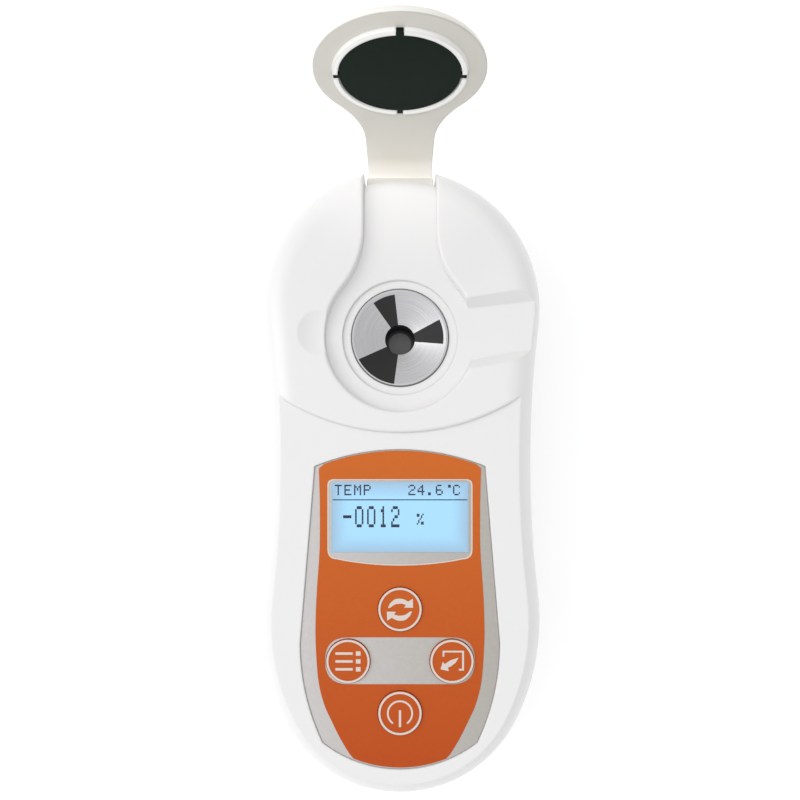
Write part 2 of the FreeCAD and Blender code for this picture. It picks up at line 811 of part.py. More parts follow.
finish(top_case, scoop, "thumb_scoop", adds=False)
layer(
    top_case,
    "hinge_notch",
    "dims.joint_z",
    "dims.deck_z",
    lambda s: arc_block(s, 1, "dims.end_r", "dims.end_y", "dims.neck_half", "70"),
    remove=True,
)
fillet(top_case, channel_end, "dims.end_round", "channel_end_edge")
across(
    top_case,
    "knuckle_room",
    disc(*HINGE, "dims.knuckle_r + dims.hinge_gap"),
    "2 * dims.neck_half",
    remove=True,
)
across(top_case, "pin_bore", disc(*HINGE, "dims.pin_r + 0.02"), "2 * dims.block_x", remove=True)
layer(top_case, "dish_seat", "dims.collar_z", "dims.floor_z + 1", disc(*DISH, "dims.collar_r"), True)
layer(top_case, "dish_bore", "dims.joint_z", "dims.collar_z", disc(*DISH, "dims.barrel_r + 0.1"), True)
layer(top_case, "panel_recess", "dims.recess_z", "dims.deck_z", panel_outline, remove=True)
layer(
    top_case,
    "display_opening",
    "dims.joint_z",
    "dims.recess_z",
    square(
        f"-({GLASS[0]} + 0.2)", f"{GLASS[0]} + 0.2", f"{GLASS[1]} - 0.2", f"{GLASS[2]} + 0.2"
    ),
    remove=True,
)
layer(
    top_case,
    "key_wells",
    "dims.well_z",
    "dims.recess_z",
    discs(KEYS.values(), "dims.key_r + dims.key_gap"),
    remove=True,
)
layer(
    top_case,
    "key_holes",
    "dims.joint_z",
    "dims.well_z",
    discs(KEYS.values(), "dims.stem_r + 0.3"),
    remove=True,
)
posts = layer(
    top_case, "screw_posts", "dims.joint_z", "dims.ceiling_z + 0.5", discs(SCREWS, "dims.boss_r")
)
layer(
    top_case, "screw_pilots", "dims.joint_z", "dims.pilot_z", discs(SCREWS, "dims.pilot_r"), True
)
layer(
    top_case,
    "board_posts",
    "dims.board_z + dims.board_thick",
    "dims.ceiling_z + 0.3",
    discs(BOARD_SCREWS, "dims.stud_r"),
)
layer(
    top_case,
    "optics_posts",
    "dims.ear_z",
    "dims.ceiling_z + 0.3",
    discs(OPTICS_SCREWS, "dims.stud_r"),
)
layer(
    top_case,
    "small_pilots",
    "dims.board_z + dims.board_thick",
    "dims.ceiling_z + 0.2",
    discs(BOARD_SCREWS + OPTICS_SCREWS, "dims.small_r + 0.02"),
    remove=True,
)

# ---------------------------------------------------------------- flap, modelled closed

LEG_OUT = "dims.hinge_y + dims.knuckle_r"
LEG_IN = f"{LEG_OUT} - dims.leg_thick"
PLATE_LOW = "dims.deck_z - dims.flap_thick"
FLAP_WIDE = "2 * (dims.neck_half - dims.flap_gap)"


def leg_profile(sketch):
    """The flap's leg and the bend that joins it to the plate, seen from the side."""
    y1, y0, z1, z0 = val(LEG_OUT), val(LEG_IN), val("dims.deck_z"), val(PLATE_LOW)
    r1, r0, low = val("dims.top_round"), val("dims.bend_in"), val("dims.hinge_z")
    pieces = [
        arc(y1 - r1, z1 - r1, r1, (y1, z1 - r1), (y1 - r1, z1)),
        line((y1 - r1, z1), (y1 - r1, z0)),
        line((y1 - r1, z0), (y0 - r0, z0)),
        arc(y0 - r0, z0 - r0, r0, (y0, z0 - r0), (y0 - r0, z0)),
        line((y0, z0 - r0), (y0, low)),
        line((y0, low), (y1, low)),
        line((y1, low), (y1, z1 - r1)),
    ]
    first = chain(sketch, pieces, smooth=())
    for index, radius, y, z in (
        (0, "dims.top_round", f"{LEG_OUT} - dims.top_round", "dims.deck_z - dims.top_round"),
        (3, "dims.bend_in", f"{LEG_IN} - dims.bend_in", f"{PLATE_LOW} - dims.bend_in"),
    ):
        bend = first + index
        bind(sketch, "Radius", bend, radius)
        bind(sketch, "DistanceX", bend, 3, y)
        bind(sketch, "DistanceY", bend, 3, z)
        sketch.addConstraint(Sketcher.Constraint("Horizontal", bend, 3, bend, 1))
        sketch.addConstraint(Sketcher.Constraint("Vertical", bend, 3, bend, 2))
    for index in (1, 4, 6):
        sketch.addConstraint(Sketcher.Constraint("Vertical", first + index))
    for index in (2, 5):
        sketch.addConstraint(Sketcher.Constraint("Horizontal", first + index))
    bind(sketch, "DistanceY", first + 5, 1, "dims.hinge_z")


flap = new_body("flap")
layer(
    flap,
    "plate",
    PLATE_LOW,
    "dims.deck_z",
    lambda s: keyhole_outline(s, f"{LEG_OUT} - dims.top_round", "dims.flap_gap"),
)
fillet(flap, top_rim, "dims.flap_round", "outer_edge")
across(flap, "leg", leg_profile, FLAP_WIDE)
across(flap, "knuckle", disc(*HINGE, "dims.knuckle_r"), FLAP_WIDE)
layer(
    flap,
    "pad_ring",
    "dims.boss_z",
    PLATE_LOW,
    ring(*DISH, "dims.boss_out", "dims.boss_in"),
)
layer(
    flap,
    "pad_seat",
    PLATE_LOW,
    "dims.pad_z + dims.pad_thick",
    disc(*DISH, "dims.pad_r + 0.05"),
    remove=True,
)
for way, (x, y) in {"cross": ("dims.boss_out + 1", "dims.tab_half"),
                    "long": ("dims.tab_half", "dims.boss_out + 1")}.items():
    layer(
        flap,
        f"ring_gap_{way}",
        "dims.boss_z - 1",
        PLATE_LOW,
        square(
            f"-({x} + 0.1)",
            f"{x} + 0.1",
            f"dims.dish_y - ({y} + 0.1)",
            f"dims.dish_y + ({y} + 0.1)",
        ),
        remove=True,
    )
across(
    flap,
    "pin_hole",
    disc(*HINGE, "dims.pin_r + 0.1"),
    "2 * dims.neck_half",
    remove=True,
)

flap_pad = new_body("flap_pad")
layer(flap_pad, "disc", "dims.pad_z", "dims.pad_z + dims.pad_thick", disc(*DISH, "dims.pad_r"))
for way, (x, y) in {"cross": ("dims.boss_out - 0.1", "dims.tab_half"),
                    "long": ("dims.tab_half", "dims.boss_out - 0.1")}.items():
    layer(
        flap_pad,
        f"tabs_{way}",
        "dims.pad_z",
        PLATE_LOW,
        square(f"-({x})", x, f"dims.dish_y - ({y})", f"dims.dish_y + ({y})"),
    )

# The flap is shown open: both pieces swing about the pin.
HINGE_POINT = Vector(0, val("dims.hinge_y"), val("dims.hinge_z"))
for body in (flap, flap_pad):
    keep(body)
    swing = Rotation(Vector(1, 0, 0), -val("dims.open_angle"))
    body.Placement = Placement(HINGE_POINT - swing.multVec(HINGE_POINT), swing)

hinge_pin = keep(
    solid(
        "Cylinder",
        "hinge_pin",
        turn=(Vector(0, 1, 0), 90),
        x="-(dims.block_x - 0.2)",
        y=HINGE[0],
        z=HINGE[1],
        Radius="dims.pin_r",
        Height="2 * (dims.block_x - 0.2)",
    )
)

# ---------------------------------------------------------------- sample dish and optics


def along_y(body, name, south, north, draw, remove=False):
    """Adds, or removes, what draw outlines between two places along the length."""
    sketch = new_sketch(body, f"{name}_outline", plane="XZ_Plane", level=f"-({north})")
    draw(sketch)
    length = f"({north}) - ({south})"
    if remove:
        return pocket(body, sketch, length, name, up=True)
    return pad(body, sketch, length, name)


dish = keep(new_body("sample_dish"))
profile = new_sketch(dish, "dish_profile", plane="XZ_Plane", level="-dims.dish_y")
polygon(
    [
        ("dims.eye_r", "dims.cone_z"),
        ("dims.cone_r", "dims.rim_z"),
        ("dims.rim_r - 0.25", "dims.rim_z"),
        ("dims.rim_r", "dims.rim_z - 0.2"),
        ("dims.rim_r", "dims.collar_z"),
        ("dims.barrel_r", "dims.collar_z"),
        ("dims.barrel_r", "dims.barrel_z"),
        ("dims.eye_r", "dims.barrel_z"),
    ]
)(profile)
revolve(dish, profile, "turned_dish", (profile, ["V_Axis"]))

gasket = keep(new_body("dish_gasket"))
layer(
    gasket,
    "flat_ring",
    "dims.ceiling_z - 0.8",
    "dims.ceiling_z",
    ring(*DISH, "dims.barrel_r + 1.5", "dims.barrel_r + 0.1"),
)

HOUSING_R = "dims.barrel_r + 2.1"
TUNNEL_Z = "dims.prism_low + 1.6"
housing = keep(new_body("optics_housing"))
layer(housing, "core", "dims.housing_low", "dims.ceiling_z - 0.9", disc(*DISH, HOUSING_R))
layer(
    housing,
    "ears",
    "dims.ear_z - 2",
    "dims.ear_z",
    square(
        "-(dims.ear_x + 2.2)", "dims.ear_x + 2.2", "dims.dish_y - 2.2", "dims.dish_y + 2.2"
    ),
)
layer(
    housing,
    "ear_holes",
    "dims.ear_z - 2",
    "dims.ear_z",
    discs(OPTICS_SCREWS, "dims.small_r + 0.2"),
    remove=True,
)
layer(
    housing,
    "dish_bore",
    "dims.barrel_z - 0.1",
    "dims.ceiling_z - 0.9",
    disc(*DISH, "dims.barrel_r + 0.15"),
    remove=True,
)
layer(
    housing,
    "prism_pocket",
    "dims.prism_low",
    "dims.barrel_z",
    square(
        "-(dims.prism_half + 0.1)",
        "dims.prism_half + 0.1",
        "dims.dish_y - dims.prism_top - 0.1",
        "dims.dish_y + dims.prism_top + 0.1",
    ),
    remove=True,
)
along_y(
    housing,
    "lamp_bore",
    f"dims.dish_y - ({HOUSING_R})",
    "dims.dish_y",
    disc("0", TUNNEL_Z, "dims.lamp_r + 0.1"),
    remove=True,
)
along_y(
    housing,
    "lens_bore",
    "dims.dish_y",
    f"dims.dish_y + {HOUSING_R}",
    disc("0", TUNNEL_Z, "dims.lens_r + 0.1"),
    remove=True,
)
layer(
    housing,
    "thermistor_hole",
    "dims.barrel_z - 3.5",
    "dims.barrel_z",
    disc("dims.probe_x", "dims.dish_y", "dims.probe_r + 0.1"),
    remove=True,
)

prism = keep(new_body("prism"))
across(
    prism,
    "glass_block",
    polygon(
        [
            ("dims.dish_y - dims.prism_top", "dims.barrel_z - 0.2"),
            ("dims.dish_y - dims.prism_foot", "dims.prism_low"),
            ("dims.dish_y + dims.prism_foot", "dims.prism_low"),
            ("dims.dish_y + dims.prism_top", "dims.barrel_z - 0.2"),
        ]
    ),
    "2 * dims.prism_half",
)
layer(prism, "window", "dims.barrel_z - 0.2", "dims.window_z", disc(*DISH, "dims.eye_r - 0.4"))

TURN_NORTH = (Vector(1, 0, 0), -90)
keep(
    solid(
        "Cylinder",
        "led_lamp",
        turn=TURN_NORTH,
        y=f"dims.dish_y - ({HOUSING_R}) + 0.2",
        z=TUNNEL_Z,
        Radius="dims.lamp_r",
        Height="3.4",
    )
)
keep(
    solid(
        "Cylinder",
        "focusing_lens",
        turn=TURN_NORTH,
        y="dims.dish_y + dims.prism_top + 0.3",
        z=TUNNEL_Z,
        Radius="dims.lens_r",
        Height="1.6",
    )
)
sensor_face = f"dims.dish_y + {HOUSING_R} + 0.3"
keep(
    solid(
        "Box",
        "sensor_board",
        x="-7",
        y=sensor_face,
        z="dims.housing_low + 1",
        Length="14",
        Width="1",
        Height="11",
    )
)
keep(
    solid(
        "Box",
        "light_sensor",
        x="-2",
        y=f"{sensor_face} - 1.6",
        z=f"{TUNNEL_Z} - 1.5",
        Length="4",
        Width="1.6",
        Height="3",
    )
)
keep(
    solid(
        "Cylinder",
        "thermistor",
        x="dims.probe_x",
        y="dims.dish_y",
        z="dims.barrel_z - 3.3",
        Radius="dims.probe_r",
        Height="3.2",
    )
)

# ---------------------------------------------------------------- display, overlay and keys

overlay = keep(new_body("panel_overlay"))
FILM_TOP = "dims.recess_z + dims.overlay_thick"
layer(
    overlay,
    "film",
    "dims.recess_z",
    FILM_TOP,
    lambda s: panel_outline(s, "dims.overlay_gap"),
)
layer(
    overlay,
    "window_opening",
    "dims.recess_z",
    FILM_TOP,
    square(f"-{WINDOW[0]}", WINDOW[0], WINDOW[1], WINDOW[2]),
    remove=True,
)
layer(
    overlay,
    "key_openings",
    "dims.recess_z",
    FILM_TOP,
    discs(KEYS.values(), "dims.key_r + dims.key_gap"),
    remove=True,
)

window = keep(new_body("display_window"))
layer(
    window,
    "clear_plate",
    "dims.recess_z",
    FILM_TOP,
    square(
        f"-({WINDOW[0]} - 0.1)", f"{WINDOW[0]} - 0.1", f"{WINDOW[1]} + 0.1", f"{WINDOW[2]} - 0.1"
    ),
)

for name, low, high in (
    ("display_backlight", "dims.board_z + dims.board_thick", "dims.glass_z"),
    ("display_glass", "dims.glass_z", "dims.recess_z - 0.1"),
):
    part = keep(new_body(name))
    layer(part, "block", low, high, square(f"-{GLASS[0]}", GLASS[0], GLASS[1], GLASS[2]))

ribbon = keep(new_body("display_ribbon"))
BEND_Y = "dims.glass_low - 0.15"
BOARD_TOP = "dims.board_z + dims.board_thick"
across(
    ribbon,
    "flat_cable",
    polygon(
        [
            (BEND_Y, "dims.ceiling_z - 0.2"),
            (f"{BEND_Y} - 0.2", "dims.ceiling_z - 0.2"),
            (f"{BEND_Y} - 0.2", f"{BOARD_TOP} + 0.2"),
            (f"{BEND_Y} - 2", f"{BOARD_TOP} + 0.2"),
            (f"{BEND_Y} - 2", BOARD_TOP),
            (BEND_Y, BOARD_TOP),
        ]
    ),
    "16",
)

for name, (x, y) in KEYS.items():
    key = keep(new_body(f"key_{name}"))
    low = "dims.key_top - dims.key_thick"
    layer(key, "cap", low, "dims.key_top", disc(x, y, "dims.key_r"))
    fillet(key, at_level(val("dims.key_top")), "0.15", "cap_edge")
    layer(key, "stem", "dims.stem_z", low, disc(x, y, "dims.stem_r"))

board = keep(new_body("main_board"))
layer(
    board,
    "plate",
    "dims.board_z",
    BOARD_TOP,
    polygon(
        [
            ("dims.board_x", "dims.board_top"),
            ("-dims.board_x", "dims.board_top"),
            ("-dims.board_x", "dims.tail_y"),
            ("-dims.tail_x", "dims.tail_y"),
            ("-dims.tail_x", "dims.board_low"),
            ("dims.tail_x", "dims.board_low"),
            ("dims.tail_x", "dims.tail_y"),
            ("dims.board_x", "dims.tail_y"),
        ]
    ),
)
layer(
    board,
    "screw_holes",
    "dims.board_z",
    BOARD_TOP,
    discs(BOARD_SCREWS, "dims.small_r + 0.2"),
    remove=True,
)

switches = []
for name, (x, y) in KEYS.items():
    base = solid(
        "Box",
        f"switch_base_{name}",
        x=f"{x} - 3",
        y=f"{y} - 3",
        z=BOARD_TOP,
        Length="6",
        Width="6",
        Height="1.8",
    )
    nub = solid(
        "Cylinder",
        f"switch_nub_{name}",
        x=x,
        y=y,
        z=f"{BOARD_TOP} + 1.7",
        Radius="1.6",
        Height="dims.stem_z - 0.45 - (dims.board_z + dims.board_thick + 1.7)",
    )
    switches.append(joined("MultiFuse", f"switch_{name}", [base, nub]))
keep(joined("Compound", "tact_switches", switches))

keep(
    solid(
        "Box",
        "processor",
        x="-12",
        y="-10",
        z="dims.board_z - 1.2",
        Length="8",
        Width="8",
        Height="1.2",
    )
)

# ---------------------------------------------------------------- battery bay

cell_end = "dims.bay_top - 0.4 - dims.cell_top - dims.cell_long"
can = solid(
    "Cylinder",
    "cell_can",
    turn=TURN_NORTH,
    y=cell_end,
    z="dims.cell_z",
    Radius="dims.cell_r",
    Height="dims.cell_long",
)
button = solid(
    "Cylinder",
    "cell_button",
    turn=TURN_NORTH,
    y=f"{cell_end} + dims.cell_long - 0.1",
    z="dims.cell_z",
    Radius="1.9",
    Height="dims.cell_top + 0.1",
)
keep(joined("MultiFuse", "battery_cell", [can, button]))

contact_plus = solid(
    "Box",
    "contact_plus",
    x="-4",
    y="dims.bay_top - 0.4",
    z="dims.cell_z - 4",
    Length="8",
    Width="0.4",
    Height="8",
)
contact_minus = solid(
    "Box",
    "contact_plate",
    x="-4",
    y="dims.bay_low",
    z="dims.cell_z - 4",
    Length="8",
    Width="0.4",
    Height="8",
)
coil = doc.addObject("Part::Helix", "spring_line")
coil.Placement = Placement(Vector(), Rotation(*TURN_NORTH))
coil.Pitch = 1.2
coil.setExpression("Height", f"({cell_end}) - dims.bay_low - 1.1")
coil.setExpression("Radius", "dims.spring_r")
coil.setExpression("Placement.Base.y", "dims.bay_low + 0.6")
coil.setExpression("Placement.Base.z", "dims.cell_z")
wire = doc.addObject("Part::Circle", "spring_wire")
wire.setExpression("Radius", "0.3")
wire.Placement = Placement(Vector(), Rotation(Vector(0, 0, 1), 0))
wire.setExpression("Placement.Base.x", "dims.spring_r")
wire.setExpression("Placement.Base.y", "dims.bay_low + 0.6")
wire.setExpression("Placement.Base.z", "dims.cell_z")
spring = doc.addObject("Part::Sweep", "spring_coil")
spring.Sections = [wire]
spring.Spine = (coil, ["Edge1"])
spring.Solid = True
spring.Frenet = True
doc.recompute()
contact_spring = joined("MultiFuse", "contact_minus", [contact_minus, spring])
keep(joined("Compound", "battery_contacts", [contact_plus, contact_spring]))

door = keep(new_body("battery_door"))
layer(
    door,
    "plate",
    "0",
    "dims.door_thick",
    square(
        "-(dims.door_x - dims.door_gap)",
        "dims.door_x - dims.door_gap",
        "dims.door_low + dims.door_gap",
        "dims.door_top - dims.door_gap",
    ),
)
for row in range(3):
    y = f"dims.door_top - {2.5 + 1.6 * row}"
    layer(door, f"grip_{row}", "0", "0.4", square("-4", "4", f"{y} - 0.4", f"{y} + 0.4"), True)

# ---------------------------------------------------------------- screws


def screw_set(name, places, seat, head, shank, length):
    """Screws that point up. Each is a head under its seat and a plain shank."""
    screws = []
    for k, (x, y) in enumerate(places):
        cap = solid(
            "Cylinder",
            f"{name}_head_{k}",
            x=x,
            y=y,
            z=f"{seat} - ({head[1]})",
            Radius=head[0],
            Height=head[1],
        )
        stem = solid(
            "Cylinder",
            f"{name}_shank_{k}",
            x=x,
            y=y,
            z=f"{seat} - 0.2",
            Radius=shank,
            Height=f"{length} + 0.2",
        )
        slots = [
            solid(
                "Box",
                f"{name}_slot_{k}_{way}",
                x=f"{x} - ({wide})",
                y=f"{y} - ({deep})",
                z=f"{seat} - ({head[1]})",
                Length=f"2 * ({wide})",
                Width=f"2 * ({deep})",
                Height="0.5",
            )
            for way, wide, deep in (
                ("a", f"0.55 * ({head[0]})", "0.2"),
                ("b", "0.2", f"0.55 * ({head[0]})"),
            )
        ]
        whole = joined("MultiFuse", f"{name}_blank_{k}", [cap, stem])
        cross = joined("MultiFuse", f"{name}_cross_{k}", slots)
        screw = doc.addObject("Part::Cut", f"{name}_{k}")
        screw.Base, screw.Tool = whole, cross
        screws.append(screw)
    return joined("Compound", name, screws)


keep(
    screw_set(
        "case_screws",
        SCREWS,
        "dims.head_z",
        ("dims.head_r", "dims.head_tall"),
        "dims.screw_r",
        "dims.pilot_z - 2 - dims.head_z",
    )
)
keep(
    screw_set(
        "board_screws",
        BOARD_SCREWS,
        "dims.board_z",
        ("2 * dims.small_r", "1"),
        "dims.small_r",
        "dims.ceiling_z - 0.8 - dims.board_z",
    )
)
keep(
    screw_set(
        "optics_screws",
        OPTICS_SCREWS,
        "dims.ear_z - 2",
        ("2 * dims.small_r", "1"),
        "dims.small_r",
        "dims.ceiling_z + 1.2 - dims.ear_z",
    )
)

# ---------------------------------------------------------------- check and write

doc.recompute()
for item in doc.Objects:
    if "Invalid" in item.State or "Error" in item.State:
        raise RuntimeError(f"{item.Label} is in state {item.State}")
for item in nodes:
    if item.Shape.isNull() or not item.Shape.isValid() or not item.Shape.Solids:
        raise RuntimeError(f"{item.Label} has no valid solid")

os.makedirs("parts", exist_ok=True)
for item in nodes:
    item.Shape.exportStep(f"parts/{item.Label}.step")
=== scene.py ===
import math

import bmesh
import bpy
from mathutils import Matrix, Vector


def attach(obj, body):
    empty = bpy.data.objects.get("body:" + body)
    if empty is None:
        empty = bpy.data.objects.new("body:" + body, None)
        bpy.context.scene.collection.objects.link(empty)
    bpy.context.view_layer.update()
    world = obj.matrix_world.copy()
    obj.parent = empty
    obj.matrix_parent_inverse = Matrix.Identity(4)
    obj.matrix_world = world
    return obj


# Lengths below are in millimetres in the frame of the whole part. They become metres when a
# mesh or a node is made. Directions: the face looks up, the cover is at the +Y end.
MM = 0.001

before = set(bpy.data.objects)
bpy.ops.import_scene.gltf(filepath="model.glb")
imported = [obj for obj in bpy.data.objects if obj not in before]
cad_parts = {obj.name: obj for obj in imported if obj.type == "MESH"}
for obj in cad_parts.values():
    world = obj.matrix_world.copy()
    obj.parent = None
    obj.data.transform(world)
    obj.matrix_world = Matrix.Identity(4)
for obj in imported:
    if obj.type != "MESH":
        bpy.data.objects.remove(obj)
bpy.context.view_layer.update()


def lin(r, g, b):
    """Linear colour from 8-bit sRGB."""

    def one(c):
        c /= 255
        return c / 12.92 if c <= 0.04045 else ((c + 0.055) / 1.055) ** 2.4

    return (one(r), one(g), one(b), 1.0)


# ------------------------------------------------------------------ materials

BEVEL_SAMPLES = 6
BLACK = (0, 0, 0, 1)


def darker(colour, share):
    """The colour with each of its three channels scaled down to the given share."""
    return tuple(c * share for c in colour[:3]) + (1.0,)


class Graph:
    """A material's node tree, with short ways to add nodes and link them."""

    def __init__(self, name):
        self.material = bpy.data.materials.new(name)
        self.material.use_nodes = True
        self.tree = self.material.node_tree
        self.tree.nodes.clear()
        self.out = self.add("ShaderNodeOutputMaterial")
        self.shader = self.add("ShaderNodeBsdfPrincipled")
        self.link(self.shader.outputs[0], self.out.inputs["Surface"])
        self.place = self.add("ShaderNodeTexCoord").outputs["Object"]

    def add(self, kind, **inputs):
        node = self.tree.nodes.new(kind)
        for key, value in inputs.items():
            self.put(node, key.replace("_", " "), value)
        return node

    def put(self, node, key, value):
        socket = node.inputs[int(key)] if key.isdigit() else node.inputs[key]
        if isinstance(value, bpy.types.NodeSocket):
            self.link(value, socket)
        else:
            socket.default_value = value

    def link(self, a, b):
        self.tree.links.new(a, b)

    def math(self, operation, a, b=0.0, c=None):
        node = self.add("ShaderNodeMath")
        node.operation = operation
        self.put(node, "0", a)
        self.put(node, "1", b)
        if c is not None:
            self.put(node, "2", c)
        return node.outputs[0]

    def clamp(self, value):
        """The value, kept between 0 and 1."""
        return self.math("MINIMUM", self.math("MAXIMUM", value, 0.0), 1.0)

    def distance(self, a, b):
        """How far a point at (a, b) is from the origin."""
        squares = self.math("MULTIPLY", a, a), self.math("MULTIPLY", b, b)
        return self.math("SQRT", self.math("ADD", *squares))

    def mix(self, factor, a, b):
        node = self.add("ShaderNodeMix")
        node.data_type = "RGBA"
        for socket, value in ((0, factor), (6, a), (7, b)):
            self.put(node, str(socket), value)
        return node.outputs[2]

    def noise(self, scale, detail=3.0, stretch=None):
        node = self.add("ShaderNodeTexNoise", Scale=scale, Detail=detail)
        source = self.place
        if stretch is not None:
            mapping = self.add("ShaderNodeMapping", Vector=self.place, Scale=stretch)
            source = mapping.outputs[0]
        self.link(source, node.inputs["Vector"])
        return node.outputs["Fac"]

    def parts(self):
        node = self.add("ShaderNodeSeparateXYZ", Vector=self.place)
        return node.outputs

    def bump(self, height, distance, strength=0.3, edge=0.0):
        """Fine relief, over edges that look rounded to the given radius."""
        node = self.add("ShaderNodeBump", Height=height, Distance=distance, Strength=strength)
        if edge:
            bevel = self.add("ShaderNodeBevel", Radius=edge * MM)
            bevel.samples = BEVEL_SAMPLES
            self.link(bevel.outputs[0], node.inputs["Normal"])
        self.link(node.outputs[0], self.shader.inputs["Normal"])


def plain(name, colour, rough, metal=0.0, edge=0.12, vary=0.05, **more):
    """A material with a little cloudy change in colour and roughness, and a fine grain."""
    g = Graph(name)
    cloud = g.noise(120.0, 4.0)
    g.put(g.shader, "Base Color", g.mix(cloud, darker(colour, 1 - vary), colour))
    g.put(g.shader, "Roughness", g.math("MULTIPLY_ADD", cloud, 0.08, rough - 0.04))
    g.put(g.shader, "Metallic", metal)
    for key, value in more.items():
        g.put(g.shader, key.replace("_", " "), value)
    g.bump(g.noise(900.0, 2.0), 0.02 * MM, edge=edge)
    return g.material


def steel(name, colour, rough):
    """Bare metal with fine streaks."""
    g = Graph(name)
    streak = g.noise(900.0, 2.0, (1, 1, 30))
    g.put(g.shader, "Base Color", g.mix(streak, darker(colour, 0.86), colour))
    g.put(g.shader, "Roughness", g.math("MULTIPLY_ADD", streak, 0.12, rough - 0.06))
    g.put(g.shader, "Metallic", 1.0)
    g.bump(streak, 0.006 * MM, edge=0.1)
    return g.material


def shell_material(name, colour, paint=None):
    """Pale moulded plastic. A paint function may change its colour from place to place."""
    g = Graph(name)
    cloud = g.noise(60.0, 3.0)
    tint = g.mix(cloud, darker(colour, 0.985), colour)
    g.put(g.shader, "Base Color", paint(g, tint) if paint else tint)
    g.put(g.shader, "Roughness", g.math("MULTIPLY_ADD", cloud, 0.06, 0.34 - 0.03))
    g.put(g.shader, "Subsurface Weight", 0.08)
    g.put(g.shader, "Subsurface Radius", (1.2 * MM, 1.0 * MM, 0.8 * MM))
    g.put(g.shader, "Subsurface Scale", 1.0)
    g.put(g.shader, "Coat Weight", 0.15)
    g.put(g.shader, "Coat Roughness", 0.15)
    g.bump(g.noise(1500.0, 2.0), 0.004 * MM, edge=0.5)
    return g.material


# The open cover at rest: its inner face lies at smaller y than INNER_Y, and its plate is
# centred at the height PLATE_Z.
INNER_Y = 65.7
PLATE_Z = 44.78
# The painted shade on the inner face begins at this height and is full this much higher.
GREY_FROM, GREY_OVER = 17, 14
# The middle radius of the pale ring of painted highlight, and half its width.
PAD_HIGHLIGHT_RING, PAD_HIGHLIGHT_RING_HALF = 10.43, 0.5


def cover_tint(g, tint):
    """The cover's inner face: painted shade, greyer towards and on the plate, with a painted
    highlight in a pale ring.
    """
    x, y, z = g.parts()
    inner = g.math("LESS_THAN", y, INNER_Y * MM)
    rise = g.clamp(g.math("MULTIPLY_ADD", z, 1 / (GREY_OVER * MM), -GREY_FROM / GREY_OVER))
    radius = g.distance(x, g.math("SUBTRACT", z, PLATE_Z * MM))
    off_ring = g.math("ABSOLUTE", g.math("SUBTRACT", radius, PAD_HIGHLIGHT_RING * MM))
    ring = g.math("LESS_THAN", off_ring, PAD_HIGHLIGHT_RING_HALF * MM)
    # Painted shade: the inner face greys with height towards the plate.
    grey = g.mix(g.math("MULTIPLY", inner, rise), tint, lin(212, 210, 201))
    # Painted highlight: a pale ring round the pad.
    return g.mix(g.math("MULTIPLY", inner, ring), grey, lin(250, 249, 246))


# The dish: the y of its axis, the height below which its eye is painted dark as shade, and the
# radius beyond which its rim is painted darker as shade.
DISH_Y = 27.6
EYE_TOP_Z = 20.75
RIM_RADIUS = 9.24
# Each painted reflection, a dark sector: its first and last angle in degrees, and the radius it
# reaches.
PAINTED_REFLECTIONS = ((97.0, 127.6, 8.4), (-8.0, 25.0, 8.4), (207.6, 262.7, 9.0))
# Beyond this radius the prism's face is darker.
WINDOW_RADIUS = 2.25


def dish_material():
    """Turned steel with painted reflections in three dark sectors round the eye, and painted
    shade in the eye and on the rim.
    """
    g = Graph("dish_turned")
    x, y, z = g.parts()
    y = g.math("SUBTRACT", y, DISH_Y * MM)
    angle = g.math("DEGREES", g.math("ARCTAN2", y, x))
    radius = g.distance(x, y)
    painted_dark = None
    for low, high, reach in PAINTED_REFLECTIONS:
        middle, half = (low + high) / 2, (high - low) / 2
        turn = g.math("WRAP", g.math("SUBTRACT", angle, middle), -180.0, 180.0)
        inside = g.math("LESS_THAN", g.math("ABSOLUTE", turn), half)
        within = g.math("LESS_THAN", radius, reach * MM)
        both = g.math("MULTIPLY", inside, within)
        painted_dark = both if painted_dark is None else g.math("MAXIMUM", painted_dark, both)
    # Painted shade: dark in the eye below EYE_TOP_Z, and partly dark on the rim beyond
    # RIM_RADIUS.
    below = g.math("LESS_THAN", z, EYE_TOP_Z * MM)
    rim = g.math("GREATER_THAN", radius, RIM_RADIUS * MM)
    painted_dark = g.math("MAXIMUM", painted_dark, below)
    painted_dark = g.math("MAXIMUM", painted_dark, g.math("MULTIPLY", rim, 0.72))
    rings = g.add("ShaderNodeTexNoise", Scale=1.0, Detail=3.0)
    place = g.add("ShaderNodeCombineXYZ", X=g.math("MULTIPLY", radius, 9000.0))
    g.put(place, "Y", g.math("MULTIPLY", angle, 0.01))
    g.link(place.outputs[0], rings.inputs["Vector"])
    grain = rings.outputs["Fac"]
    bright = g.mix(grain, lin(176, 174, 176), lin(214, 213, 214))
    dark = g.mix(below, lin(33, 31, 32), lin(18, 17, 17))
    g.put(g.shader, "Base Color", g.mix(painted_dark, bright, dark))
    # Where the painted reflections and shade lie, the steel is less metallic and rougher, so
    # they stay dark.
    g.put(g.shader, "Metallic", g.math("SUBTRACT", 1.0, g.math("MULTIPLY", painted_dark, 0.85)))
    rough = g.math("MULTIPLY_ADD", grain, 0.12, 0.2)
    g.put(g.shader, "Roughness", g.math("MULTIPLY_ADD", painted_dark, 0.25, rough))
    g.put(g.shader, "Anisotropic", 0.7)
    tangent = g.add("ShaderNodeTangent")
    tangent.direction_type = "RADIAL"
    tangent.axis = "Z"
    g.link(tangent.outputs[0], g.shader.inputs["Tangent"])
    g.bump(grain, 0.004 * MM, edge=0.08)
    return g.material


